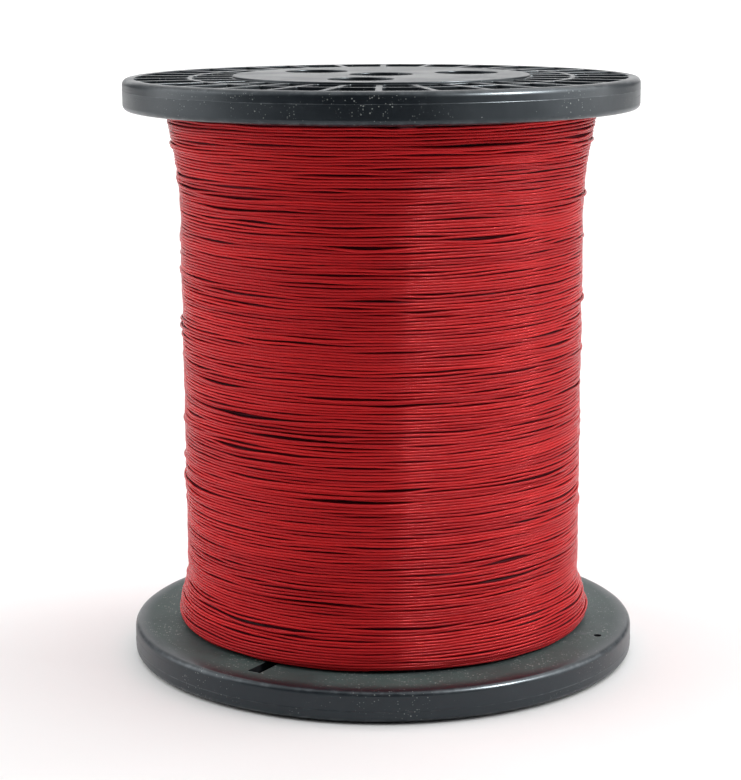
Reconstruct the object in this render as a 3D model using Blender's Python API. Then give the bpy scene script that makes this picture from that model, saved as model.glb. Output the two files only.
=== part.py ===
"""Plastic process reel, 12 in flanges by 12 in traverse, wound with hook-up wire.

Two ribbed flange mouldings, the same moulding turned over for the lower end, are clamped
on a barrel tube by six tie bolts that sit in the flange pockets. A centre tube lines the
arbor hole between the two hubs. The wire winding fills the space between the flanges.

Frame: metres, +Z up along the reel's axis, origin at the centre of the lower hub face.
The front is -Y. An azimuth is counted from the front towards +X.
"""
import math

import bmesh
import bpy
from mathutils import Matrix

MM = 0.001
GAP = 0.3 * MM

# Driving sizes of the reel
FLANGE_RADIUS = 152.4 * MM
FLANGE_THICKNESS = 19.0 * MM
TRAVERSE = 309.0 * MM
HUB_RADIUS = 87.6 * MM
HUB_PROUD = 1.2 * MM
BORE_RADIUS = 19.05 * MM
BARREL_RADIUS = 101.6 * MM
BARREL_WALL = 4.0 * MM

# Flange moulding, with heights counted outward from the face that the wire touches
FLOOR_THICKNESS = 4.0 * MM
SEAT_DEPTH = 1.5 * MM
HUB_SKIN = 4.0 * MM
HUB_CHAMFER = 0.6 * MM
HUB_WALL = 3.5 * MM
HUB_LEDGE = 0.5 * MM
LIP_INNER_RADIUS = 145.5 * MM
LIP_FILLET = 3.3 * MM
SHOULDER_FILLET = 3.2 * MM
SHOULDER_WIDTH = 10.8 * MM
SHOULDER_DROP = 0.8 * MM
RIB_COUNT = 30
RIB_THICKNESS = 3.6 * MM
MID_RING_RADIUS = 113.0 * MM
MID_RING_THICKNESS = 2.6 * MM
FIRST_RIB_AZIMUTH = math.radians(-12.6)

# Openings in the flange, at angles counted from the first rib
DRIVE_HOLE_COUNT = 3
DRIVE_HOLE_CIRCLE = 53.3 * MM
SLOT_ANGLE = math.radians(19.0)
SLOT_WIDTH = 8.3 * MM
SLOT_INNER_RADIUS = 106.0 * MM
SLOT_OUTER_RADIUS = 139.8 * MM
LEAD_HOLE_ANGLE = math.radians(-80.0)
LEAD_HOLE_CIRCLE = 138.5 * MM
LEAD_HOLE_RADIUS = 2.35 * MM

# Arbor tube and its socket under each hub face
ARBOR_TUBE_RADIUS = 22.1 * MM
SOCKET_WALL = 3.0 * MM
SOCKET_DEPTH = 8.2 * MM

# Tie bolts
BOLT_COUNT = 6
BOLT_FIRST_ANGLE = math.radians(30.0)
BOLT_CIRCLE = 93.6 * MM
BOLT_RADIUS = 2.5 * MM
BOLT_HOLE_RADIUS = 2.8 * MM
BOLT_TAIL = 2.5 * MM
HEX_FLAT_RADIUS = 4.0 * MM
HEX_HEIGHT = 4.0 * MM
WASHER_RADIUS = 5.0 * MM
WASHER_THICKNESS = 1.0 * MM

# Wire winding, with heights counted from the lower flange's face
WINDING_RADIUS = 119.3 * MM
WINDING_TAPER = 0.5 * MM
FOOT_RADIUS = 119.6 * MM
BULGE_RADIUS = 125.2 * MM
BULGE_HEIGHT = 5.0 * MM
BULGE_END = 30.0 * MM
FLARE_START = 247.0 * MM
FLARE_DEPTH = 7.6 * MM
FLARE_POWER = 1.7

# Facets of the round pieces
RIM_SEGMENTS = 60
HOLE_SEGMENTS = 24
BOLT_SEGMENTS = 12
FILLET_STEPS = 3
BULGE_STEPS = 3
PROFILE_STEPS = 5
SHARP_ANGLE = math.radians(35)

# Heights in the reel
LOWER_FACE = HUB_PROUD + FLANGE_THICKNESS
UPPER_FACE = LOWER_FACE + TRAVERSE
HUB_TOP = FLANGE_THICKNESS + HUB_PROUD
HUB_UNDERSIDE = HUB_TOP - HUB_SKIN


def clear_scene():
    """Remove every object of the open scene."""
    for item in list(bpy.data.objects):
        bpy.data.objects.remove(item, do_unlink=True)


def make_material(name, colour, roughness, metallic=0.0):
    """Return a Principled material."""
    material = bpy.data.materials.new(name)
    material.use_nodes = True
    shader = material.node_tree.nodes["Principled BSDF"]
    shader.inputs["Base Color"].default_value = (*colour, 1.0)
    shader.inputs["Roughness"].default_value = roughness
    shader.inputs["Metallic"].default_value = metallic
    return material


def direction(angle):
    """Unit vector of an azimuth, in the plane of the flange."""
    return math.sin(angle), -math.cos(angle)


def at_angle(radius, angle):
    """Point of the flange's plane at a radius and an azimuth."""
    across, along = direction(angle)
    return radius * across, radius * along


def finish_mesh(name, mesh_builder, material, parent=None):
    """Turn a bmesh into a smooth-shaded object."""
    bmesh.ops.recalc_face_normals(mesh_builder, faces=mesh_builder.faces)
    mesh = bpy.data.meshes.new(name)
    mesh_builder.to_mesh(mesh)
    mesh_builder.free()
    mesh.shade_smooth()
    mesh.set_sharp_from_angle(angle=SHARP_ANGLE)
    item = bpy.data.objects.new(name, mesh)
    bpy.context.collection.objects.link(item)
    item.parent = parent
    if material:
        mesh.materials.append(material)
    return item


def revolve(outline, segments):
    """Spin a closed outline of (radius, height) points once around the Z axis."""
    mesh_builder = bmesh.new()
    corners = [mesh_builder.verts.new((radius, 0.0, height)) for radius, height in outline]
    edges = [mesh_builder.edges.new((corners[i - 1], corners[i])) for i in range(len(corners))]
    bmesh.ops.spin(mesh_builder, geom=corners + edges, cent=(0, 0, 0), axis=(0, 0, 1),
                   angle=math.tau, steps=segments, use_merge=True)
    bmesh.ops.remove_doubles(mesh_builder, verts=mesh_builder.verts, dist=1e-6)
    return mesh_builder


def add_prism(mesh_builder, outline, low, high):
    """Add an upright prism over a closed outline of (x, y) points."""
    corners = [mesh_builder.verts.new((x, y, low)) for x, y in outline]
    base = mesh_builder.faces.new(corners)
    grown = bmesh.ops.extrude_face_region(mesh_builder, geom=[base])
    raised = [part for part in grown["geom"] if isinstance(part, bmesh.types.BMVert)]
    bmesh.ops.translate(mesh_builder, verts=raised, vec=(0, 0, high - low))


def circle(centre, radius, segments):
    """Outline of a circle."""
    x, y = centre
    steps = [math.tau * step / segments for step in range(segments)]
    return [(x + radius * math.cos(turn), y + radius * math.sin(turn)) for turn in steps]


def fillet(start, end, radius_first):
    """Points of a quarter round from start to end, without start itself.

    radius_first is true where the curve leaves start along the radius.
    """
    (r0, z0), (r1, z1) = start, end
    points = []
    for step in range(1, FILLET_STEPS + 1):
        turn = 0.5 * math.pi * step / FILLET_STEPS
        fast, slow = math.sin(turn), 1.0 - math.cos(turn)
        radial, axial = (fast, slow) if radius_first else (slow, fast)
        points.append((r0 + (r1 - r0) * radial, z0 + (z1 - z0) * axial))
    return points


def flange_outline():
    """Section of the flange blank, before its pockets and holes are cut."""
    lip_start = (FLANGE_RADIUS - LIP_FILLET, FLANGE_THICKNESS)
    lip_end = (FLANGE_RADIUS, FLANGE_THICKNESS - LIP_FILLET)
    shoulder_start = (FLANGE_RADIUS, SHOULDER_DROP + SHOULDER_FILLET)
    shoulder_end = (FLANGE_RADIUS - SHOULDER_FILLET, SHOULDER_DROP)
    seat_outer = BARREL_RADIUS + GAP
    seat_inner = BARREL_RADIUS - BARREL_WALL - GAP
    hollow_radius = HUB_RADIUS - HUB_WALL
    socket_inner = ARBOR_TUBE_RADIUS + GAP
    socket_outer = socket_inner + SOCKET_WALL
    socket_end = HUB_UNDERSIDE - SOCKET_DEPTH
    return [
        (BORE_RADIUS, HUB_TOP - HUB_CHAMFER),
        (BORE_RADIUS + HUB_CHAMFER, HUB_TOP),
        (HUB_RADIUS - HUB_CHAMFER, HUB_TOP),
        (HUB_RADIUS, HUB_TOP - HUB_CHAMFER),
        (HUB_RADIUS, FLANGE_THICKNESS),
        lip_start,
        *fillet(lip_start, lip_end, radius_first=True),
        shoulder_start,
        *fillet(shoulder_start, shoulder_end, radius_first=False),
        (FLANGE_RADIUS - SHOULDER_WIDTH, 0.0),
        (seat_outer, 0.0),
        (seat_outer, SEAT_DEPTH),
        (seat_inner, SEAT_DEPTH),
        (seat_inner, 0.0),
        (hollow_radius, 0.0),
        (hollow_radius, HUB_UNDERSIDE),
        (socket_outer, HUB_UNDERSIDE),
        (socket_outer, socket_end),
        (socket_inner, socket_end),
        (socket_inner, HUB_UNDERSIDE),
        (BORE_RADIUS, HUB_UNDERSIDE),
    ]


def pocket_outline(middle, inner_radius, outer_radius):
    """Outline of one pocket between two ribs and two rings."""
    half_pitch = math.pi / RIB_COUNT
    points = []
    for radius, steps in ((inner_radius, (-1, 0, 1)), (outer_radius, (1, 1 / 3, -1 / 3, -1))):
        half_angle = half_pitch - math.asin(0.5 * RIB_THICKNESS / radius)
        points += [at_angle(radius, middle + step * half_angle) for step in steps]
    return points


def slot_outline():
    """Outline of the radial starting slot."""
    across, along = direction(SLOT_ANGLE)
    half = 0.5 * SLOT_WIDTH
    corners = ((SLOT_INNER_RADIUS, -half), (SLOT_INNER_RADIUS, half),
               (SLOT_OUTER_RADIUS, half), (SLOT_OUTER_RADIUS, -half))
    return [(radius * across - side * along, radius * along + side * across)
            for radius, side in corners]


def flange_cutter(name, parent):
    """Everything that is taken out of a flange blank: pockets, holes and the slot."""
    mesh_builder = bmesh.new()
    above = HUB_TOP + FLOOR_THICKNESS
    below = -FLOOR_THICKNESS
    inner_row = (HUB_RADIUS + HUB_LEDGE, MID_RING_RADIUS - 0.5 * MID_RING_THICKNESS)
    outer_row = (MID_RING_RADIUS + 0.5 * MID_RING_THICKNESS, LIP_INNER_RADIUS)
    for pocket in range(RIB_COUNT):
        middle = math.tau * (pocket + 0.5) / RIB_COUNT
        for row in (inner_row, outer_row):
            add_prism(mesh_builder, pocket_outline(middle, *row), FLOOR_THICKNESS, above)
    for hole in range(DRIVE_HOLE_COUNT):
        centre = at_angle(DRIVE_HOLE_CIRCLE, math.tau * hole / DRIVE_HOLE_COUNT)
        add_prism(mesh_builder, circle(centre, BORE_RADIUS, HOLE_SEGMENTS), below, above)
    for angle in bolt_angles():
        centre = at_angle(BOLT_CIRCLE, angle)
        outline = circle(centre, BOLT_HOLE_RADIUS, BOLT_SEGMENTS)
        add_prism(mesh_builder, outline, below, 0.5 * (FLOOR_THICKNESS + HUB_UNDERSIDE))
    centre = at_angle(LEAD_HOLE_CIRCLE, LEAD_HOLE_ANGLE)
    lead_hole = circle(centre, LEAD_HOLE_RADIUS, BOLT_SEGMENTS)
    add_prism(mesh_builder, lead_hole, below, 0.5 * (FLOOR_THICKNESS + HUB_UNDERSIDE))
    add_prism(mesh_builder, slot_outline(), below, FLOOR_THICKNESS + GAP)
    cutter = finish_mesh(name, mesh_builder, None, parent)
    cutter.hide_render = True
    cutter.display_type = "WIRE"
    return cutter


def bolt_angles():
    """Angles of the tie bolts, counted from the first rib."""
    return [BOLT_FIRST_ANGLE + math.tau * bolt / BOLT_COUNT for bolt in range(BOLT_COUNT)]


def make_frame(name, height, upside_down):
    """Empty that carries a flange: its floor at height, its first rib at the right azimuth."""
    frame = bpy.data.objects.new(name, None)
    bpy.context.collection.objects.link(frame)
    turn = Matrix.Rotation(FIRST_RIB_AZIMUTH, 4, "Z")
    flip = Matrix.Rotation(math.pi, 4, "Y") if upside_down else Matrix.Identity(4)
    frame.matrix_world = Matrix.Translation((0, 0, height)) @ turn @ flip
    return frame


def make_flange(name, height, upside_down, material):
    """One ribbed flange moulding."""
    frame = make_frame(name + "_frame", height, upside_down)
    flange = finish_mesh(name, revolve(flange_outline(), RIM_SEGMENTS), material, frame)
    cut = flange.modifiers.new("pockets_and_holes", "BOOLEAN")
    cut.operation = "DIFFERENCE"
    cut.solver = "EXACT"
    cut.object = flange_cutter(name + "_cutter", frame)
    return flange


def make_tube(name, outer_radius, inner_radius, low, high, material):
    """Plain tube on the reel's axis."""
    outline = [(outer_radius, high), (outer_radius, low), (inner_radius, low), (inner_radius, high)]
    return finish_mesh(name, revolve(outline, RIM_SEGMENTS), material)


def winding_radius(height):
    """Outer radius of the winding at a height over the lower flange's face."""
    radius = WINDING_RADIUS + WINDING_TAPER * height / TRAVERSE
    if height < BULGE_HEIGHT:
        rise = math.sin(0.5 * math.pi * height / BULGE_HEIGHT)
        return FOOT_RADIUS + (BULGE_RADIUS - FOOT_RADIUS) * rise
    if height < BULGE_END:
        fall = math.pi * (height - BULGE_HEIGHT) / (BULGE_END - BULGE_HEIGHT)
        return radius + (BULGE_RADIUS - radius) * 0.5 * (1.0 + math.cos(fall))
    if height > FLARE_START:
        share = (height - FLARE_START) / (TRAVERSE - FLARE_START)
        return radius + FLARE_DEPTH * share ** FLARE_POWER
    return radius


def spread(low, high):
    """Evenly spaced heights from low to high."""
    return [low + (high - low) * step / PROFILE_STEPS for step in range(PROFILE_STEPS + 1)]


def make_winding(material):
    """The wound wire as one solid of its true outer shape."""
    bulge = [BULGE_HEIGHT * step / BULGE_STEPS for step in range(BULGE_STEPS)]
    fall = spread(BULGE_HEIGHT, BULGE_END)
    flare = spread(FLARE_START, TRAVERSE)
    heights = bulge + fall + flare
    outline = [(winding_radius(height), height) for height in reversed(heights)]
    outline[0] = (outline[0][0], TRAVERSE - GAP)
    outline[-1] = (outline[-1][0], GAP)
    inner_radius = BARREL_RADIUS + GAP
    outline += [(inner_radius, GAP), (inner_radius, TRAVERSE - GAP)]
    winding = finish_mesh("wire_winding", revolve(outline, RIM_SEGMENTS), material)
    winding.location.z = LOWER_FACE
    return winding


def hexagon(flat_radius):
    """Twelve outline radii of a hexagon: a corner, then the middle of a flat, and so on."""
    corner_radius = flat_radius / math.cos(math.pi / 6)
    return [corner_radius, flat_radius] * 6


def stack_rings(rings):
    """Skin a closed stack of rings, each a list of radii and a height."""
    mesh_builder = bmesh.new()
    loops = []
    for radii, height in rings:
        count = len(radii)
        loop = []
        for step, radius in enumerate(radii):
            turn = math.tau * step / count
            loop.append(mesh_builder.verts.new((radius * math.cos(turn), radius * math.sin(turn), height)))
        loops.append(loop)
    for lower, upper in zip(loops, loops[1:]):
        for step in range(len(lower)):
            following = (step + 1) % len(lower)
            mesh_builder.faces.new((lower[step], lower[following], upper[following], upper[step]))
    return mesh_builder, loops


def bolt_mesh(head_base, tail_end):
    """Hex-head bolt: the head stands on head_base and the shank runs down to tail_end."""
    shank = [BOLT_RADIUS] * BOLT_SEGMENTS
    head = hexagon(HEX_FLAT_RADIUS)
    top = head_base + HEX_HEIGHT
    rings = [(shank, tail_end), (shank, head_base), (head, head_base), (head, top)]
    mesh_builder, loops = stack_rings(rings)
    mesh_builder.faces.new(loops[0])
    mesh_builder.faces.new(loops[-1])
    return mesh_builder


def ring_mesh(outer_radii, inner_radius, low, high):
    """Ring with an outline of its own outside and a round hole."""
    hole = [inner_radius] * len(outer_radii)
    rings = [(hole, low), (outer_radii, low), (outer_radii, high), (hole, high), (hole, low)]
    mesh_builder, loops = stack_rings(rings)
    bmesh.ops.remove_doubles(mesh_builder, verts=mesh_builder.verts, dist=1e-6)
    return mesh_builder


def make_tie_bolt(number, angle, steel):
    """One tie bolt with its two washers and its nut."""
    x, y = at_angle(BOLT_CIRCLE, FIRST_RIB_AZIMUTH + angle)
    round_washer = [WASHER_RADIUS] * BOLT_SEGMENTS
    upper_washer_low = UPPER_FACE + FLOOR_THICKNESS + GAP
    upper_washer_high = upper_washer_low + WASHER_THICKNESS
    lower_washer_high = LOWER_FACE - FLOOR_THICKNESS - GAP
    lower_washer_low = lower_washer_high - WASHER_THICKNESS
    nut_high = lower_washer_low - GAP
    nut_low = nut_high - HEX_HEIGHT
    pieces = {
        "tie_bolt": bolt_mesh(upper_washer_high + GAP, nut_low - BOLT_TAIL),
        "head_washer": ring_mesh(round_washer, BOLT_HOLE_RADIUS, upper_washer_low, upper_washer_high),
        "nut_washer": ring_mesh(round_washer, BOLT_HOLE_RADIUS, lower_washer_low, lower_washer_high),
        "tie_nut": ring_mesh(hexagon(HEX_FLAT_RADIUS), BOLT_HOLE_RADIUS, nut_low, nut_high),
    }
    for name, mesh_builder in pieces.items():
        item = finish_mesh(f"{name}_{number}", mesh_builder, steel)
        item.location = (x, y, 0)
        item.rotation_euler.z = FIRST_RIB_AZIMUTH + angle


def build():
    """Model the whole reel."""
    clear_scene()
    flange_plastic = make_material("flange_plastic", (0.045, 0.050, 0.056), 0.42)
    barrel_plastic = make_material("barrel_plastic", (0.060, 0.063, 0.066), 0.50)
    wire_jacket = make_material("wire_jacket", (0.560, 0.012, 0.018), 0.38)
    zinc_steel = make_material("zinc_steel", (0.600, 0.600, 0.580), 0.35, metallic=1.0)

    make_flange("upper_flange", UPPER_FACE, False, flange_plastic)
    make_flange("lower_flange", LOWER_FACE, True, flange_plastic)

    seat = SEAT_DEPTH - GAP
    make_tube("barrel_tube", BARREL_RADIUS, BARREL_RADIUS - BARREL_WALL,
              LOWER_FACE - seat, UPPER_FACE + seat, barrel_plastic)
    reach = HUB_UNDERSIDE - GAP
    make_tube("arbor_tube", ARBOR_TUBE_RADIUS, BORE_RADIUS,
              LOWER_FACE - reach, UPPER_FACE + reach, barrel_plastic)
    make_winding(wire_jacket)
    for number, angle in enumerate(bolt_angles(), start=1):
        make_tie_bolt(number, angle, zinc_steel)


build()
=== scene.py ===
"""Looks of the wire spool: a plastic process reel wound with red stranded hook-up wire.

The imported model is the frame. The flanges are rebuilt with their moulded detail, and the
winding is rebuilt as wire turns laid over each other. The tubes, bolts, washers and nuts keep
their CAD meshes and get node materials.
"""
import math

import bmesh
import bpy
import numpy as np
from mathutils import Matrix, Vector


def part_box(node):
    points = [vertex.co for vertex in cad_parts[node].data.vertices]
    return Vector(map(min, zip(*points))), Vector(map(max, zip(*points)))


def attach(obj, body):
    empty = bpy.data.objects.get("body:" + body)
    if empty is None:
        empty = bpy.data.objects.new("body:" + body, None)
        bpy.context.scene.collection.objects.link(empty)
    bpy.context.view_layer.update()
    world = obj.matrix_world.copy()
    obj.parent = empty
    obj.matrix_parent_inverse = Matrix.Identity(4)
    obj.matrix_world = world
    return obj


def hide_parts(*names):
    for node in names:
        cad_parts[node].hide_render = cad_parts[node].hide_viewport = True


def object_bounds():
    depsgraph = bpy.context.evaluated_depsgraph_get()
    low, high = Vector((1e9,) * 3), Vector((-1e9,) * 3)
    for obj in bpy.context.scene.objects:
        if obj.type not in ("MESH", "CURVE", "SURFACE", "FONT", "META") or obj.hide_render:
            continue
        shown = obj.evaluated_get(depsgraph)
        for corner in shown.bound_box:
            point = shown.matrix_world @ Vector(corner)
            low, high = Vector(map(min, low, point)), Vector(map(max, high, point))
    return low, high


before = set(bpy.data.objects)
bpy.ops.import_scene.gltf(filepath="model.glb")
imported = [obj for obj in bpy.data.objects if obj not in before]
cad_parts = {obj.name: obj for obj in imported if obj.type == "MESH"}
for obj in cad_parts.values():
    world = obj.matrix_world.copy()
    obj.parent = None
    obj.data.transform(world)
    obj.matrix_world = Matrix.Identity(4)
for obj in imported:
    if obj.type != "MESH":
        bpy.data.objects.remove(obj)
cad_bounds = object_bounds()

MM = 0.001

# Reel, measured on the frame
FLANGE_LOW, FLANGE_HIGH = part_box("upper_flange")
WINDING_LOW, WINDING_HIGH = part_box("wire_winding")
SPOOL_TOP = FLANGE_HIGH.z
UPPER_FACE = FLANGE_LOW.z
LOWER_FACE = SPOOL_TOP - UPPER_FACE
FLANGE_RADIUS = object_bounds()[1][0]

# Flange moulding, with heights counted outward from the face that the wire touches
HUB_TOP = SPOOL_TOP - UPPER_FACE
HUB_PROUD = 1.2 * MM
HUB_SKIN = 4.0 * MM
HUB_UNDERSIDE = HUB_TOP - HUB_SKIN
HUB_RADIUS = 87.6 * MM
HUB_LEDGE = 0.5 * MM
FLANGE_THICKNESS = HUB_TOP - HUB_PROUD
FLOOR_THICKNESS = 4.0 * MM
HUB_WALL_RADIUS = 84.1 * MM
BORE_RADIUS = 19.05 * MM
SOCKET_INNER, SOCKET_OUTER, SOCKET_DEPTH = 22.4 * MM, 25.4 * MM, 8.2 * MM
SEAT_INNER, SEAT_OUTER, SEAT_DEPTH = 97.3 * MM, 101.9 * MM, 1.5 * MM
LIP_INNER_RADIUS = 145.5 * MM
LIP_FILLET = 3.3 * MM
SHOULDER_FILLET = 3.2 * MM
SHOULDER_WIDTH = 10.8 * MM
SHOULDER_DROP = 0.8 * MM
RIB_COUNT = 30
RIB_THICKNESS = 3.6 * MM
MID_RING_RADIUS = 113.0 * MM
MID_RING_THICKNESS = 2.6 * MM
FIRST_RIB_AZIMUTH = math.radians(-12.6)
DRIVE_HOLE_COUNT = 3
DRIVE_HOLE_CIRCLE = 53.3 * MM
SLOT_ANGLE = math.radians(19.0)
SLOT_WIDTH = 8.3 * MM
SLOT_INNER_RADIUS = 106.0 * MM
SLOT_OUTER_RADIUS = 139.8 * MM
LEAD_HOLE_ANGLE = math.radians(-80.0)
LEAD_HOLE_CIRCLE = 138.5 * MM
LEAD_HOLE_RADIUS = 2.35 * MM
BOLT_COUNT = 6
BOLT_CIRCLE = 93.6 * MM
BOLT_FIRST_ANGLE = math.radians(30.0)
BOLT_HOLE_RADIUS = 2.8 * MM

# Moulded detail that the CAD leaves out
EDGE_ROUND = 0.35 * MM
HUB_ROUND = 0.6 * MM
FLOOR_FILLET = 1.2 * MM
WALL_DRAFT = 0.3 * MM
POCKET_CORNER = 2.5 * MM
FLASH_DEPTH = 6.6 * MM
FLASH_HEIGHT = 0.16 * MM
FLASH_HALF_WIDTH = 0.35 * MM
RIM_SEGMENTS = 480
HOLE_SEGMENTS = 96
SMALL_SEGMENTS = 24
FILLET_STEPS = 4
OUTER_ARC_STEPS = 5
INNER_ARC_STEPS = 3
SHARP_ANGLE = math.radians(40)
CUT_MARGIN = 0.3 * MM

# Wire, drawn a little thinner than its pitch so that dark lines show between the turns
WIRE_DIAMETER = 1.57 * MM
WIRE_PITCH = 1.78 * MM
SAMPLES_PER_TURN = 240
WIRE_SIDES = 8
STRAND_SPACING = 1.4 * MM
STRANDS_AROUND = 3
TURNS_PER_PIECE = 44

# Unevenness of the winding, with lengths along the wire in samples
LAY_SEED = 20
DRIFT = 0.36 * MM
DRIFT_LENGTH = 11
DRIFT_MEMORY = 0.92
JITTER = 0.36 * MM
JITTER_LENGTH = 3
WANDERS_PER_TURN = 0.6
WANDER_REACH = 32
PUSH_ROUNDS = 60
BASE_DEPTH = 2.65 * MM
LUMP_HEIGHT = 0.15 * MM
LUMP_LENGTH = 6
LUMP_LEVELS = 600

# Camera, at the photograph's angle
CAMERA_PLACE = (0.0, -1.29296, 0.41657)
CAMERA_HEADING = 0.00548
CAMERA_DIP = 0.19655
CAMERA_ROLL = -0.00421
CAMERA_LENS = 100.11


# --- small helpers -----------------------------------------------------------------------

def direction(angle):
    """Unit vector of an azimuth, counted from the front (-Y) towards +X."""
    return math.sin(angle), -math.cos(angle)


def at_angle(radius, angle):
    """Point at a radius and an azimuth."""
    across, along = direction(angle)
    return radius * across, radius * along


def ring(radius, segments=RIM_SEGMENTS, centre=(0.0, 0.0)):
    """Outline of a circle."""
    turns = [math.tau * step / segments for step in range(segments)]
    points = [at_angle(radius, turn) for turn in turns]
    return [(centre[0] + x, centre[1] + y) for x, y in points]


def quarter(start, end, radius_first):
    """Points of a quarter round from start to end, without start itself."""
    (r0, z0), (r1, z1) = start, end
    points = []
    for step in range(1, FILLET_STEPS + 1):
        turn = 0.5 * math.pi * step / FILLET_STEPS
        fast, slow = math.sin(turn), 1.0 - math.cos(turn)
        radial, axial = (fast, slow) if radius_first else (slow, fast)
        points.append((r0 + (r1 - r0) * radial, z0 + (z1 - z0) * axial))
    return points


def link_object(name, mesh, material, replaced):
    """Put a finished mesh in the scene as a piece of the spool."""
    piece = bpy.data.objects.new(name, mesh)
    bpy.context.scene.collection.objects.link(piece)
    mesh.materials.append(material)
    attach(piece, "root")
    if replaced:
        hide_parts(*replaced)
    return piece


def smooth_rigid(piece):
    """Smooth shading that keeps flat faces flat and hole edges crisp."""
    piece.data.shade_smooth()
    piece.data.set_sharp_from_angle(angle=SHARP_ANGLE)
    weighted = piece.modifiers.new("flat_faces", "WEIGHTED_NORMAL")
    weighted.keep_sharp = True


# --- materials ---------------------------------------------------------------------------

class Recipe:
    """A material's node tree, with short calls to add nodes to it."""

    def __init__(self, name):
        self.material = bpy.data.materials.new(name)
        self.material.use_nodes = True
        self.tree = self.material.node_tree
        self.shader = self.tree.nodes["Principled BSDF"]

    def set(self, node, inputs):
        for key, value in inputs.items():
            if isinstance(value, bpy.types.NodeSocket):
                self.tree.links.new(value, node.inputs[key])
            else:
                node.inputs[key].default_value = value

    def node(self, kind, inputs=None, **settings):
        node = self.tree.nodes.new(kind)
        for key, value in settings.items():
            setattr(node, key, value)
        self.set(node, inputs or {})
        return node

    def math(self, operation, first, second=0.0):
        return self.node("ShaderNodeMath", {0: first, 1: second}, operation=operation).outputs[0]

    def place(self, scale=(1.0, 1.0, 1.0)):
        coordinates = self.node("ShaderNodeTexCoord")
        mapping = self.node("ShaderNodeMapping", {"Vector": coordinates.outputs["Object"],
                                                  "Scale": scale})
        return mapping.outputs["Vector"]

    def noise(self, vector, scale, detail=2.0):
        node = self.node("ShaderNodeTexNoise", {"Vector": vector, "Scale": scale, "Detail": detail})
        return node.outputs["Fac"]

    def ramp(self, value, low, high, to_low=0.0, to_high=1.0):
        node = self.node("ShaderNodeMapRange", {"Value": value, "From Min": low, "From Max": high,
                                                "To Min": to_low, "To Max": to_high},
                         interpolation_type="SMOOTHSTEP")
        return node.outputs["Result"]

    def blend(self, share, first, second):
        node = self.node("ShaderNodeMix", {0: share, 6: first, 7: second}, data_type="RGBA")
        return node.outputs[2]

    def specks(self, vector, scale, size):
        """White where a random speck lies."""
        cells = self.node("ShaderNodeTexVoronoi", {"Vector": vector, "Scale": scale})
        lucky = self.node("ShaderNodeSeparateColor", {"Color": cells.outputs["Color"]})
        radius = self.math("MULTIPLY", self.math("POWER", lucky.outputs["Red"], 3.0), size)
        edge = self.math("SUBTRACT", radius, cells.outputs["Distance"])
        return self.ramp(edge, 0.0, 0.05)

    def bump(self, height, distance, base=None):
        inputs = {"Height": height, "Distance": distance, "Strength": 1.0}
        if base:
            inputs["Normal"] = base
        return self.node("ShaderNodeBump", inputs).outputs["Normal"]


def flange_plastic():
    """Satin dark grey moulded plastic with mottling, dust specks and pale worn edges."""
    recipe = Recipe("flange_plastic")
    here = recipe.place()
    mottle = recipe.noise(here, 28.0, detail=4.0)
    cloud = recipe.noise(here, 9.0)
    grain = recipe.noise(here, 1500.0, detail=2.0)
    streak = recipe.noise(recipe.place((14.0, 14.0, 900.0)), 1.0, detail=3.0)
    wear = recipe.node("ShaderNodeAttribute", attribute_name="wear").outputs["Fac"]
    facing = recipe.node("ShaderNodeNewGeometry").outputs["Normal"]
    upward = recipe.node("ShaderNodeSeparateXYZ", {"Vector": facing}).outputs["Z"]
    settled = recipe.node("ShaderNodeAttribute", attribute_name="settled").outputs["Fac"]
    settled = recipe.math("MULTIPLY", settled, recipe.ramp(upward, 0.7, 0.95))

    dusty = recipe.ramp(recipe.noise(here, 24.0, detail=3.0), 0.50, 0.66)
    drift = recipe.math("MULTIPLY", settled, recipe.ramp(recipe.noise(here, 30.0, detail=4.0), 0.40, 0.58))
    fine = recipe.math("MULTIPLY", recipe.specks(here, 850.0, 0.38), dusty)
    coarse = recipe.math("MULTIPLY", recipe.specks(here, 300.0, 0.15), recipe.ramp(cloud, 0.50, 0.65))
    heavy = recipe.math("MULTIPLY", recipe.specks(here, 750.0, 0.52), drift)
    dust = recipe.math("MAXIMUM", recipe.math("MAXIMUM", fine, coarse), heavy)
    haze = recipe.math("MULTIPLY", recipe.ramp(mottle, 0.45, 0.80), 0.35)
    scuffed = recipe.math("MULTIPLY", wear, recipe.ramp(recipe.noise(here, 160.0, detail=3.0), 0.40, 0.70))
    scuffed = recipe.math("MULTIPLY", scuffed, 0.55)

    colour = recipe.blend(haze, (0.0075, 0.0105, 0.0145, 1.0), (0.018, 0.023, 0.029, 1.0))
    film = recipe.math("MULTIPLY", settled, recipe.ramp(mottle, 0.25, 0.75, 0.45, 0.85))
    colour = recipe.blend(film, colour, (0.050, 0.086, 0.074, 1.0))
    colour = recipe.blend(scuffed, colour, (0.110, 0.120, 0.130, 1.0))
    colour = recipe.blend(dust, colour, (0.260, 0.280, 0.265, 1.0))
    rough = recipe.math("ADD", recipe.ramp(mottle, 0.3, 0.8, 0.28, 0.38),
                        recipe.math("MULTIPLY", dust, 0.30))
    rough = recipe.math("ADD", rough, recipe.ramp(streak, 0.55, 0.75, 0.0, 0.08))
    rough = recipe.math("ADD", rough, recipe.math("MULTIPLY", settled, 0.28))
    fine_bump = recipe.bump(grain, 0.02 * MM)
    normal = recipe.bump(mottle, 0.25 * MM, base=fine_bump)
    recipe.set(recipe.shader, {"Base Color": colour, "Roughness": rough, "Normal": normal,
                               "Specular Tint": (0.84, 0.94, 1.0, 1.0)})
    return recipe.material


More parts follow.
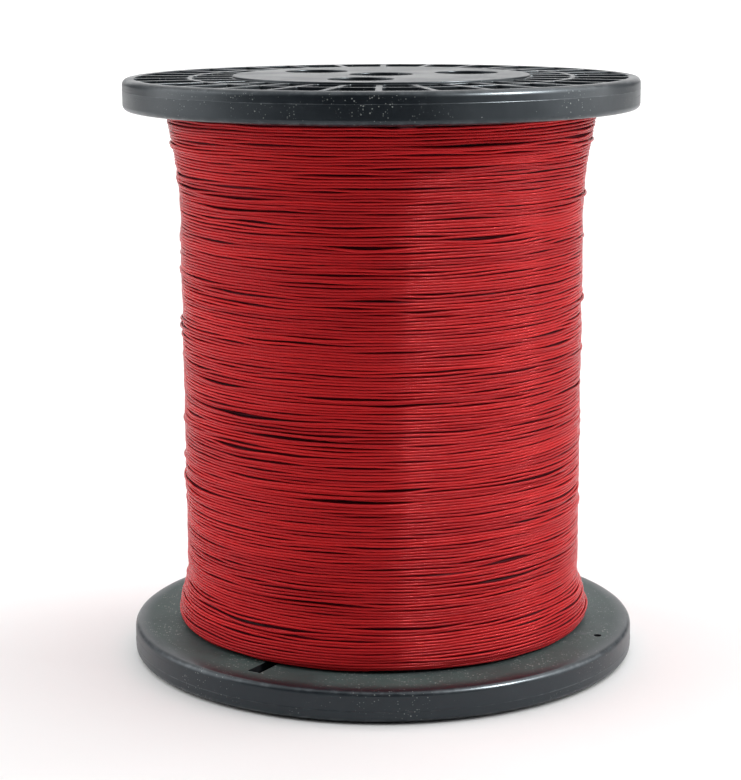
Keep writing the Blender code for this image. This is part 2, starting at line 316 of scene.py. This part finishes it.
def barrel_plastic():
    """Extruded dark grey plastic with fine lines along the tube."""
    recipe = Recipe("barrel_plastic")
    lines = recipe.noise(recipe.place((900.0, 900.0, 6.0)), 1.0, detail=3.0)
    mottle = recipe.noise(recipe.place(), 40.0, detail=3.0)
    colour = recipe.blend(mottle, (0.012, 0.013, 0.014, 1.0), (0.030, 0.032, 0.034, 1.0))
    recipe.set(recipe.shader, {"Base Color": colour,
                               "Roughness": recipe.ramp(lines, 0.3, 0.7, 0.42, 0.58),
                               "Normal": recipe.bump(lines, 0.03 * MM)})
    return recipe.material


def zinc_steel():
    """Zinc-plated steel with a faint yellowish bloom and turned marks."""
    recipe = Recipe("zinc_steel")
    here = recipe.place()
    bloom = recipe.noise(here, 320.0, detail=4.0)
    marks = recipe.noise(recipe.place((300.0, 300.0, 4000.0)), 1.0, detail=2.0)
    colour = recipe.blend(bloom, (0.52, 0.53, 0.55, 1.0), (0.66, 0.64, 0.58, 1.0))
    recipe.set(recipe.shader, {"Base Color": colour, "Metallic": 1.0,
                               "Roughness": recipe.ramp(bloom, 0.3, 0.7, 0.24, 0.42),
                               "Normal": recipe.bump(marks, 0.02 * MM)})
    return recipe.material


def wire_jacket(name, light, deep, rough):
    """Glossy wire insulation, with the strands under it showing through as slanting ridges."""
    recipe = Recipe(name)
    along_wire = recipe.node("ShaderNodeUVMap", uv_map="wire").outputs["UV"]
    place = recipe.node("ShaderNodeSeparateXYZ", {"Vector": along_wire})
    phase = recipe.math("ADD", place.outputs["X"], place.outputs["Y"])
    strands = recipe.math("ABSOLUTE", recipe.math("SINE", recipe.math("MULTIPLY", phase, math.pi)))
    lay_noise = recipe.noise(recipe.place(), 260.0, detail=2.0)
    height = recipe.math("ADD", strands, recipe.math("MULTIPLY", lay_noise, 0.5))
    batch = recipe.noise(recipe.place((7.0, 7.0, 420.0)), 1.0, detail=2.0)
    colour = recipe.blend(recipe.ramp(batch, 0.30, 0.70), deep, light)
    recipe.set(recipe.shader, {"Base Color": colour,
                               "Roughness": recipe.ramp(lay_noise, 0.3, 0.7, rough, rough + 0.12),
                               "Metallic": 0.07, "Specular IOR Level": 0.09,
                               "Normal": recipe.bump(height, 0.14 * MM)})
    return recipe.material


def winding_core_painted_shade():
    """Painted shade: near-black maroon standing in for the shaded covered turns, only seen in the gaps
    between the outer ones.
    """
    recipe = Recipe("winding_core_painted_shade")
    turns = recipe.noise(recipe.place((10.0, 10.0, 560.0)), 1.0, detail=2.0)
    colour = recipe.blend(turns, (0.010, 0.001, 0.003, 1.0), (0.050, 0.004, 0.008, 1.0))
    recipe.set(recipe.shader, {"Base Color": colour, "Roughness": recipe.ramp(turns, 0.2, 0.8, 0.5, 0.7),
                               "Normal": recipe.bump(turns, 0.4 * MM)})
    return recipe.material


# --- flanges -----------------------------------------------------------------------------

class Shell:
    """A closed surface made of skinned loops and filled flat regions."""

    def __init__(self):
        self.mesh = bmesh.new()

    def loop(self, points, height):
        return [self.mesh.verts.new((x, y, height)) for x, y in points]

    def wall(self, outline, profile):
        """Skin outline(offset) at each (offset, height). Returns the first and last loop."""
        loops = [self.loop(outline(offset), height) for offset, height in profile]
        for first, second in zip(loops, loops[1:]):
            for step in range(len(first)):
                before = step - 1
                self.mesh.faces.new((first[before], first[step], second[step], second[before]))
        return loops[0], loops[-1]

    def fill(self, *loops):
        """Fill the flat region that the loops bound."""
        edges = []
        for loop in loops:
            for step in range(len(loop)):
                pair = (loop[step - 1], loop[step])
                edges.append(self.mesh.edges.get(pair) or self.mesh.edges.new(pair))
        bmesh.ops.triangle_fill(self.mesh, use_beauty=True, edges=edges, normal=(0, 0, 1))

    def finish(self, name):
        bmesh.ops.recalc_face_normals(self.mesh, faces=self.mesh.faces)
        mesh = bpy.data.meshes.new(name)
        self.mesh.to_mesh(mesh)
        self.mesh.free()
        return mesh


def corner_arc(rib_angle, side, radius, half_rib, corner, inner):
    """Round of a pocket's corner, from the rib's side to the ring."""
    ring_sign = 1.0 if inner else -1.0
    reach = radius + ring_sign * corner
    off = half_rib + corner
    along = math.sqrt(reach * reach - off * off)
    across_axis, along_axis = direction(rib_angle)
    centre_x = along * across_axis - side * off * along_axis
    centre_y = along * along_axis + side * off * across_axis
    to_rib = math.atan2(-side * across_axis, side * along_axis)
    to_ring = math.atan2(-ring_sign * centre_y, -ring_sign * centre_x)
    sweep = (to_ring - to_rib + math.pi) % math.tau - math.pi
    turns = [to_rib + sweep * step / FILLET_STEPS for step in range(FILLET_STEPS + 1)]
    return [(centre_x + corner * math.cos(turn), centre_y + corner * math.sin(turn)) for turn in turns]


def pocket_outline(middle, inner_radius, outer_radius, inset):
    """Outline of a pocket between two ribs and two rings, drawn in by inset."""
    half_pitch = math.pi / RIB_COUNT
    half_rib = 0.5 * RIB_THICKNESS + inset
    corner = POCKET_CORNER - inset
    first_rib, second_rib = middle - half_pitch, middle + half_pitch
    inner, outer = inner_radius + inset, outer_radius - inset
    corners = [
        corner_arc(first_rib, 1.0, outer, half_rib, corner, False),
        corner_arc(second_rib, -1.0, outer, half_rib, corner, False)[::-1],
        corner_arc(second_rib, -1.0, inner, half_rib, corner, True),
        corner_arc(first_rib, 1.0, inner, half_rib, corner, True)[::-1],
    ]
    points = list(corners[0])
    points += arc_between(corners[0][-1], corners[1][0], OUTER_ARC_STEPS)
    points += corners[1] + corners[2]
    points += arc_between(corners[2][-1], corners[3][0], INNER_ARC_STEPS)
    points += corners[3]
    return points


def arc_between(start, end, steps):
    """Points of the ring between two of its points, without those two."""
    radius = math.hypot(*start)
    first = math.atan2(start[0], -start[1])
    sweep = (math.atan2(end[0], -end[1]) - first + math.pi) % math.tau - math.pi
    return [at_angle(radius, first + sweep * step / steps) for step in range(1, steps)]


def rim_profile():
    """Section of the flange's outside, from the lip's top round to the hub's hollow."""
    lip_start = (FLANGE_RADIUS - LIP_FILLET, FLANGE_THICKNESS)
    lip_end = (FLANGE_RADIUS, FLANGE_THICKNESS - LIP_FILLET)
    shoulder_start = (FLANGE_RADIUS, SHOULDER_DROP + SHOULDER_FILLET)
    shoulder_end = (FLANGE_RADIUS - SHOULDER_FILLET, SHOULDER_DROP)
    flash = FLANGE_THICKNESS - FLASH_DEPTH
    return [
        lip_start,
        *quarter(lip_start, lip_end, radius_first=True),
        (FLANGE_RADIUS, flash + FLASH_HALF_WIDTH),
        (FLANGE_RADIUS + FLASH_HEIGHT, flash),
        (FLANGE_RADIUS, flash - FLASH_HALF_WIDTH),
        shoulder_start,
        *quarter(shoulder_start, shoulder_end, radius_first=False),
        (FLANGE_RADIUS - SHOULDER_WIDTH, 0.0),
        (SEAT_OUTER, 0.0),
        (SEAT_OUTER, SEAT_DEPTH),
        (SEAT_INNER, SEAT_DEPTH),
        (SEAT_INNER, 0.0),
        (HUB_WALL_RADIUS, 0.0),
        (HUB_WALL_RADIUS, HUB_UNDERSIDE),
    ]


def hub_profile():
    """Section of the hub disc's edge, from its top down to the ribs' level."""
    start = (HUB_RADIUS - HUB_ROUND, HUB_TOP)
    end = (HUB_RADIUS, HUB_TOP - HUB_ROUND)
    return [start, *quarter(start, end, radius_first=True), (HUB_RADIUS, FLANGE_THICKNESS)]


def hole_profile(round_size):
    """Section of a through hole of the hub disc: widening at the top, then straight."""
    start = (round_size, HUB_TOP)
    end = (0.0, HUB_TOP - round_size)
    return [start, *quarter(start, end, radius_first=True), (0.0, HUB_UNDERSIDE)]


def pocket_profile():
    """Section of a pocket's wall: rounded rim, drafted wall and floor fillet."""
    rim_end = (0.0, FLANGE_THICKNESS - EDGE_ROUND)
    start = (-EDGE_ROUND, FLANGE_THICKNESS)
    wall_end = (WALL_DRAFT, FLOOR_THICKNESS + FLOOR_FILLET)
    floor_start = (WALL_DRAFT + FLOOR_FILLET, FLOOR_THICKNESS)
    return [start, *quarter(start, rim_end, radius_first=True),
            wall_end, *quarter(wall_end, floor_start, radius_first=False)]


def add_pockets(shell):
    """Skin all the pockets. Returns the loops of their rims."""
    rows = ((HUB_RADIUS + HUB_LEDGE, MID_RING_RADIUS - 0.5 * MID_RING_THICKNESS),
            (MID_RING_RADIUS + 0.5 * MID_RING_THICKNESS, LIP_INNER_RADIUS))
    rims = []
    for pocket in range(RIB_COUNT):
        middle = math.tau * (pocket + 0.5) / RIB_COUNT
        for inner, outer in rows:
            rim, floor = shell.wall(lambda inset: pocket_outline(middle, inner, outer, inset),
                                    pocket_profile())
            shell.fill(floor)
            rims.append(rim)
    return rims


def flange_blank(name):
    """The flange's mesh without its slot and small holes, in its own frame."""
    shell = Shell()
    hub_top, hub_foot = shell.wall(ring, hub_profile())
    lip, hollow = shell.wall(ring, rim_profile())
    bore_top, bore_end = shell.wall(lambda grow: ring(BORE_RADIUS + grow, HOLE_SEGMENTS),
                                    hole_profile(HUB_ROUND))
    tops, ends = [], []
    for hole in range(DRIVE_HOLE_COUNT):
        centre = at_angle(DRIVE_HOLE_CIRCLE, math.tau * hole / DRIVE_HOLE_COUNT)
        top, end = shell.wall(lambda grow: ring(BORE_RADIUS + grow, HOLE_SEGMENTS, centre),
                              hole_profile(HUB_ROUND))
        tops.append(top)
        ends.append(end)
    socket_end = HUB_UNDERSIDE - SOCKET_DEPTH
    socket_profile = [(SOCKET_OUTER, HUB_UNDERSIDE), (SOCKET_OUTER, socket_end),
                      (SOCKET_INNER, socket_end), (SOCKET_INNER, HUB_UNDERSIDE)]
    socket, seat = shell.wall(lambda radius: ring(radius, HOLE_SEGMENTS), socket_profile)
    shell.fill(hub_top, bore_top, *tops)
    shell.fill(hollow, socket, *ends)
    shell.fill(seat, bore_end)
    shell.fill(lip, hub_foot, *add_pockets(shell))
    return shell.finish(name)


def small_cuts():
    """Cutter for the starting slot, the lead hole and the bolt holes."""
    shell = Shell()
    low, high = -FLOOR_THICKNESS, FLOOR_THICKNESS + CUT_MARGIN

    def prism(outline, top):
        bottom_loop, top_loop = shell.wall(lambda _: outline, [(0, low), (0, top)])
        shell.mesh.faces.new(bottom_loop)
        shell.mesh.faces.new(top_loop)

    across, along = direction(SLOT_ANGLE)
    half = 0.5 * SLOT_WIDTH
    corners = ((SLOT_INNER_RADIUS, -half), (SLOT_INNER_RADIUS, half),
               (SLOT_OUTER_RADIUS, half), (SLOT_OUTER_RADIUS, -half))
    prism([(r * across - side * along, r * along + side * across) for r, side in corners], high)
    lead_hole = at_angle(LEAD_HOLE_CIRCLE, LEAD_HOLE_ANGLE)
    prism(ring(LEAD_HOLE_RADIUS, SMALL_SEGMENTS, lead_hole), 2.0 * high)
    for bolt in range(BOLT_COUNT):
        centre = at_angle(BOLT_CIRCLE, BOLT_FIRST_ANGLE + math.tau * bolt / BOLT_COUNT)
        prism(ring(BOLT_HOLE_RADIUS, SMALL_SEGMENTS, centre), 2.0 * high)
    cutter = bpy.data.objects.new("cutter", shell.finish("cutter"))
    bpy.context.scene.collection.objects.link(cutter)
    return cutter


def mark_wear(mesh):
    """Store how far each point lies on a rounded edge, for the pale scuffs there."""
    attribute = mesh.attributes.new("wear", "FLOAT", "POINT")
    flash = FLANGE_RADIUS + 0.5 * FLASH_HEIGHT
    values = []
    for vertex in mesh.vertices:
        normal = vertex.normal
        slanted = 1.0 - max(abs(normal.z), math.hypot(normal.x, normal.y))
        on_flash = math.hypot(vertex.co.x, vertex.co.y) > flash
        values.append(1.0 if on_flash else min(1.0, 3.4 * slanted))
    attribute.data.foreach_set("value", values)


def mark_settled(mesh, face_height):
    """Mark the upward face at a height, where dust has settled as a pale film."""
    attribute = mesh.attributes.new("settled", "FLOAT", "POINT")
    values = [1.0 if abs(vertex.co.z - face_height) < 0.5 * SHOULDER_DROP and vertex.normal.z > 0.5 else 0.0
              for vertex in mesh.vertices]
    attribute.data.foreach_set("value", values)


def cut_mesh(mesh, cutter):
    """The mesh with the cutter taken out of it."""
    holder = bpy.data.objects.new("holder", mesh)
    bpy.context.scene.collection.objects.link(holder)
    cut = holder.modifiers.new("cut", "BOOLEAN")
    cut.operation = "DIFFERENCE"
    cut.solver = "EXACT"
    cut.object = cutter
    graph = bpy.context.evaluated_depsgraph_get()
    result = bpy.data.meshes.new_from_object(holder.evaluated_get(graph))
    bpy.data.objects.remove(holder)
    return result


def make_flanges(material):
    """Both flanges: one moulding, turned over for the lower end."""
    cutter = small_cuts()
    moulding = cut_mesh(flange_blank("moulding"), cutter)
    bpy.data.objects.remove(cutter)
    mark_wear(moulding)
    turn = Matrix.Rotation(FIRST_RIB_AZIMUTH, 4, "Z")
    places = {
        "upper_flange": Matrix.Translation((0, 0, UPPER_FACE)) @ turn,
        "lower_flange": Matrix.Translation((0, 0, LOWER_FACE)) @ turn @ Matrix.Rotation(math.pi, 4, "Y"),
    }
    for node, place in places.items():
        mesh = moulding.copy()
        mesh.transform(place)
        mark_settled(mesh, LOWER_FACE)
        piece = link_object(node + "_moulding", mesh, material, [node])
        smooth_rigid(piece)


# --- wire winding ------------------------------------------------------------------------

def winding_profile():
    """Heights and outer radii of the CAD winding, lowest first."""
    rows = {}
    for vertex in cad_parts["wire_winding"].data.vertices:
        height = round(vertex.co.z, 5)
        rows[height] = max(rows.get(height, 0.0), math.hypot(vertex.co.x, vertex.co.y))
    heights = sorted(rows)
    return np.array(heights), np.array([rows[height] for height in heights])


def smooth_noise(rng, count, width):
    """Unit-variance random curve whose bumps are about width samples long."""
    reach = 3 * width
    kernel = np.exp(-0.5 * (np.arange(-reach, reach + 1) / width) ** 2)
    raw = np.convolve(rng.normal(size=count + 2 * reach), kernel, mode="valid")
    return raw / np.sqrt((kernel ** 2).sum())


def along_and_across(rng, turns, width, memory):
    """Random curve along the wire whose turns resemble the turns before them."""
    fresh = smooth_noise(rng, turns * SAMPLES_PER_TURN, width).reshape(turns, SAMPLES_PER_TURN)
    for turn in range(1, turns):
        fresh[turn] = memory * fresh[turn - 1] + math.sqrt(1.0 - memory ** 2) * fresh[turn]
    return fresh


def push_apart(heights, low, high):
    """Slide turns along the barrel until neighbours no longer press into each other."""
    for _ in range(PUSH_ROUNDS):
        press = np.maximum(0.0, WIRE_DIAMETER - np.diff(heights, axis=0))
        heights[:-1] -= 0.5 * press
        heights[1:] += 0.5 * press
        np.clip(heights, low, high, out=heights)
    return heights


def add_wanders(rng, heights):
    """Let some stretches of wire climb over their neighbours."""
    flat = heights.reshape(-1)
    for _ in range(int(WANDERS_PER_TURN * len(heights))):
        centre = rng.integers(len(flat))
        width = rng.uniform(3.0, 8.0)
        size = rng.choice((-1.0, 1.0)) * rng.uniform(0.3, 0.75) * WIRE_DIAMETER
        span = np.arange(max(0, centre - WANDER_REACH), min(len(flat), centre + WANDER_REACH))
        flat[span] += size * np.exp(-0.5 * ((span - centre) / width) ** 2)


def lay_heights(rng, turns, upward):
    """Height of each turn of a layer at each angle, as a (turns, angles) table.

    Neighbouring turns touch or leave short gaps, and some wander over their neighbours.
    """
    low = WINDING_LOW.z + 0.5 * WIRE_DIAMETER
    high = WINDING_HIGH.z - 0.5 * WIRE_DIAMETER
    progress = np.arange(turns * SAMPLES_PER_TURN) / (turns * SAMPLES_PER_TURN - 1)
    heights = (low + (high - low) * progress).reshape(turns, SAMPLES_PER_TURN)
    heights += DRIFT * along_and_across(rng, turns, DRIFT_LENGTH, DRIFT_MEMORY)
    heights += JITTER * along_and_across(rng, turns, JITTER_LENGTH, 0.0)
    heights = push_apart(heights, low, high)
    add_wanders(rng, heights)
    heights = smooth_along(heights.reshape(-1), 1).reshape(turns, SAMPLES_PER_TURN)
    np.clip(heights, low, high, out=heights)
    return heights if upward else low + high - heights


def settle(heights, base):
    """Radius at which each turn comes to rest on the base and on the turns laid before it."""
    total = len(heights)
    radii = np.zeros_like(heights)
    for turn in range(total):
        rest = base(heights[turn]) + 0.5 * WIRE_DIAMETER
        if turn:
            apart = np.abs(heights[:turn] - heights[turn])
            lift = np.sqrt(np.maximum(0.0, WIRE_DIAMETER ** 2 - apart ** 2))
            stacked = np.where(apart < WIRE_DIAMETER, radii[:turn] + lift, 0.0)
            rest = np.maximum(rest, stacked.max(axis=0))
        radii[turn] = rest
    return radii


def smooth_along(values, width):
    """Round off the kinks of a curve along the wire."""
    reach = 3 * width
    kernel = np.exp(-0.5 * (np.arange(-reach, reach + 1) / width) ** 2)
    padded = np.pad(values, reach, mode="edge")
    return np.convolve(padded, kernel / kernel.sum(), mode="valid")


def tube_mesh(name, radii, heights):
    """Round wire along a coil given by a radius and a height at each sample."""
    count = len(radii)
    turn = math.pi + math.tau * np.arange(count) / SAMPLES_PER_TURN
    outward = np.stack((np.sin(turn), -np.cos(turn), np.zeros(count)), axis=1)
    centre = outward * radii[:, None]
    centre[:, 2] = heights
    around = math.tau * (np.arange(WIRE_SIDES) + 0.5) / WIRE_SIDES
    half = 0.5 * WIRE_DIAMETER
    points = (centre[:, None, :]
              + half * np.cos(around)[None, :, None] * outward[:, None, :]
              + half * np.sin(around)[None, :, None] * np.array((0.0, 0.0, 1.0)))
    rows = np.arange(count - 1)[:, None] * WIRE_SIDES
    side = np.arange(WIRE_SIDES)[None, :]
    after = (side + 1) % WIRE_SIDES
    faces = np.stack((rows + side, rows + WIRE_SIDES + side, rows + WIRE_SIDES + after, rows + after),
                     axis=2).reshape(-1, 4)
    mesh = bpy.data.meshes.new(name)
    ends = [list(range(WIRE_SIDES)), list(range(count * WIRE_SIDES - 1, (count - 1) * WIRE_SIDES - 1, -1))]
    mesh.from_pydata(points.reshape(-1, 3), [], faces.tolist() + ends)
    mesh.shade_smooth()

    arc = math.tau * WINDING_HIGH.x / SAMPLES_PER_TURN / STRAND_SPACING
    along = (np.arange(count) % SAMPLES_PER_TURN) * arc
    start = np.broadcast_to(along[:-1, None], (count - 1, WIRE_SIDES))
    lean = STRANDS_AROUND / WIRE_SIDES
    low_side = np.broadcast_to(side * lean, start.shape)
    corners = np.stack((np.stack((start, low_side), axis=2),
                        np.stack((start + arc, low_side), axis=2),
                        np.stack((start + arc, low_side + lean), axis=2),
                        np.stack((start, low_side + lean), axis=2)), axis=2).reshape(-1, 2)
    layer = mesh.uv_layers.new(name="wire")
    uv = np.zeros((len(mesh.loops), 2), np.float32)
    uv[:len(corners)] = corners
    layer.data.foreach_set("uv", uv.ravel())
    return mesh


def make_winding(outer_material, shade_under_material, shade_core_material):
    """Core, one covered layer and the outer layer of the winding; the core and the covered layer carry
    painted shade.
    """
    rng = np.random.default_rng(LAY_SEED)
    levels, outer = winding_profile()
    turns = int((WINDING_HIGH.z - WINDING_LOW.z) / WIRE_PITCH)
    lumps = LUMP_HEIGHT * smooth_noise(rng, LUMP_LEVELS, LUMP_LENGTH)
    lump_levels = np.linspace(WINDING_LOW.z, WINDING_HIGH.z, LUMP_LEVELS)

    def base(height):
        return np.interp(height, levels, outer) - BASE_DEPTH + np.interp(height, lump_levels, lumps)

    make_core(levels, outer - BASE_DEPTH, shade_core_material)
    under = lay_heights(rng, turns, upward=False)
    over = lay_heights(rng, turns, upward=True)
    heights = np.concatenate((under, over))
    radii = settle(heights, base)
    smoothed = np.concatenate([smooth_along(layer.reshape(-1), 3) for layer in np.split(radii, 2)])
    for name, material, offset in (("under", shade_under_material, 0), ("outer", outer_material, turns)):
        for number, first in enumerate(range(0, turns, TURNS_PER_PIECE), start=1):
            last = min(first + TURNS_PER_PIECE, turns)
            low = (offset + first) * SAMPLES_PER_TURN
            high = min((offset + last) * SAMPLES_PER_TURN + 1, (offset + turns) * SAMPLES_PER_TURN)
            mesh = tube_mesh(f"wire_{name}_{number}", smoothed[low:high], heights.reshape(-1)[low:high])
            link_object(mesh.name, mesh, material, ["wire_winding"])


def make_core(levels, radii, material):
    """Closed ring of the covered turns, which takes the painted-shade core material."""
    shell = Shell()
    outline = list(zip(radii, levels)) + [(SEAT_OUTER, levels[-1]), (SEAT_OUTER, levels[0])]
    first, last = shell.wall(lambda radius: ring(radius, SAMPLES_PER_TURN), outline)
    for step in range(len(first)):
        shell.mesh.faces.new((first[step - 1], first[step], last[step], last[step - 1]))
    mesh = shell.finish("winding_core_painted_shade")
    mesh.shade_smooth()
    link_object("winding_core_painted_shade", mesh, material, ["wire_winding"])


# --- studio ------------------------------------------------------------------------------

def make_camera():
    """Camera at the photograph's angle: a long lens, a little above the spool."""
    data = bpy.data.cameras.new("camera")
    data.sensor_fit = "VERTICAL"
    data.sensor_height = 36.0
    data.lens = CAMERA_LENS
    data.clip_end = 50.0
    camera = bpy.data.objects.new("camera", data)
    bpy.context.scene.collection.objects.link(camera)
    place = Matrix.Translation(CAMERA_PLACE)
    heading = Matrix.Rotation(CAMERA_HEADING, 4, "Z")
    tilt = Matrix.Rotation(math.radians(90.0) - CAMERA_DIP, 4, "X")
    roll = Matrix.Rotation(CAMERA_ROLL, 4, "Z")
    camera.matrix_world = place @ heading @ tilt @ roll
    bpy.context.scene.camera = camera


def make_panel(name, place, aim, size, power, glint_only=False):
    """Softbox at place, aimed at a point. A glint_only box shows in highlights and lights nothing else."""
    data = bpy.data.lights.new(name, "AREA")
    data.shape = "RECTANGLE"
    data.size, data.size_y = size
    data.energy = power
    light = bpy.data.objects.new(name, data)
    bpy.context.scene.collection.objects.link(light)
    light.location = place
    light.rotation_euler = (Vector(aim) - Vector(place)).to_track_quat("-Z", "Y").to_euler()
    light.visible_diffuse = not glint_only


def make_floor():
    """Plain pale floor."""
    recipe = Recipe("floor")
    tone = recipe.noise(recipe.place(), 3.0, detail=3.0)
    colour = recipe.blend(tone, (0.88, 0.88, 0.88, 1.0), (0.90, 0.90, 0.90, 1.0))
    recipe.set(recipe.shader, {"Base Color": colour, "Roughness": 0.8})
    bpy.ops.mesh.primitive_plane_add(size=60.0, location=(0.0, 0.0, cad_bounds[0][2]))
    floor = bpy.context.object
    floor.name = "floor"
    floor.data.materials.append(recipe.material)


def make_card(name, size, place, shade, glow):
    """Upright card of the studio: a white one lights, a black one keeps light off."""
    recipe = Recipe(name)
    recipe.set(recipe.shader, {"Base Color": (*[shade] * 3, 1.0), "Roughness": 0.9,
                               "Emission Color": (1.0, 1.0, 1.0, 1.0), "Emission Strength": glow})
    bpy.ops.mesh.primitive_plane_add(size=1.0, location=place)
    card = bpy.context.object
    card.name = name
    card.scale = (*size, 1.0)
    card.rotation_euler = (math.radians(90.0), 0.0, 0.0)
    card.data.materials.append(recipe.material)
    return card


def make_studio():
    """Surroundings bright overhead, side softboxes, a backdrop, and a black card before the front."""
    world = bpy.data.worlds.new("studio")
    bpy.context.scene.world = world
    world.use_nodes = True
    tree = world.node_tree
    outward = tree.nodes.new("ShaderNodeTexCoord").outputs["Generated"]
    height = tree.nodes.new("ShaderNodeSeparateXYZ")
    tree.links.new(outward, height.inputs[0])
    fade = tree.nodes.new("ShaderNodeMapRange")
    fade.interpolation_type = "SMOOTHSTEP"
    for socket, value in (("From Min", 0.15), ("From Max", 0.9), ("To Min", 0.15), ("To Max", 1.25)):
        fade.inputs[socket].default_value = value
    tree.links.new(height.outputs["Z"], fade.inputs["Value"])
    tree.links.new(fade.outputs[0], tree.nodes["Background"].inputs["Strength"])
    tree.nodes["Background"].inputs["Color"].default_value = (1.0, 1.0, 1.0, 1.0)
    middle = (0.0, 0.0, 0.5 * SPOOL_TOP)
    make_panel("left", (-1.7, 0.1, 0.9), middle, (1.5, 1.5), 17.0)
    make_panel("right", (1.7, 0.1, 0.9), middle, (1.5, 1.5), 18.0)
    make_panel("right_back", (1.1, 0.7, 2.2), middle, (1.0, 1.0), 8.0)
    make_panel("behind", (0.0, 1.9, 1.9), (0.0, 1.8, 0.0), (3.0, 1.4), 6.0)
    make_panel("glint", (1.32, -0.72, 1.34), middle, (0.16, 0.16), 85.0, glint_only=True)
    make_card("backdrop", (2.6, 1.4), (0.0, 2.4, 0.7), 0.9, 0.24)
    flag = make_card("black_card", (2.4, 2.4), (-0.45, -1.50, 1.2), 0.01, 0.0)
    flag.visible_camera = False
    make_floor()
    bpy.context.scene.view_settings.view_transform = "Standard"


# --- assembly ----------------------------------------------------------------------------

def main():
    """Build the pieces on the frame and light them."""
    plastic = flange_plastic()
    steel = zinc_steel()
    tube = barrel_plastic()
    outer = wire_jacket("wire_jacket", (0.620, 0.022, 0.025, 1.0), (0.450, 0.014, 0.019, 1.0), 0.15)
    # The covered layer's jacket is the outer red darkened to painted shade, so the gaps between the outer
    # turns read dark.
    under = wire_jacket("wire_jacket_under_painted_shade", (0.140, 0.004, 0.012, 1.0), (0.060, 0.003, 0.009, 1.0), 0.45)
    make_flanges(plastic)
    make_winding(outer, under, winding_core_painted_shade())
    for name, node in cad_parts.items():
        if name.endswith("_tube"):
            node.data.materials[0] = tube
        elif "bolt" in name or "washer" in name or "nut" in name:
            node.data.materials[0] = steel
    make_camera()
    make_studio()


main()
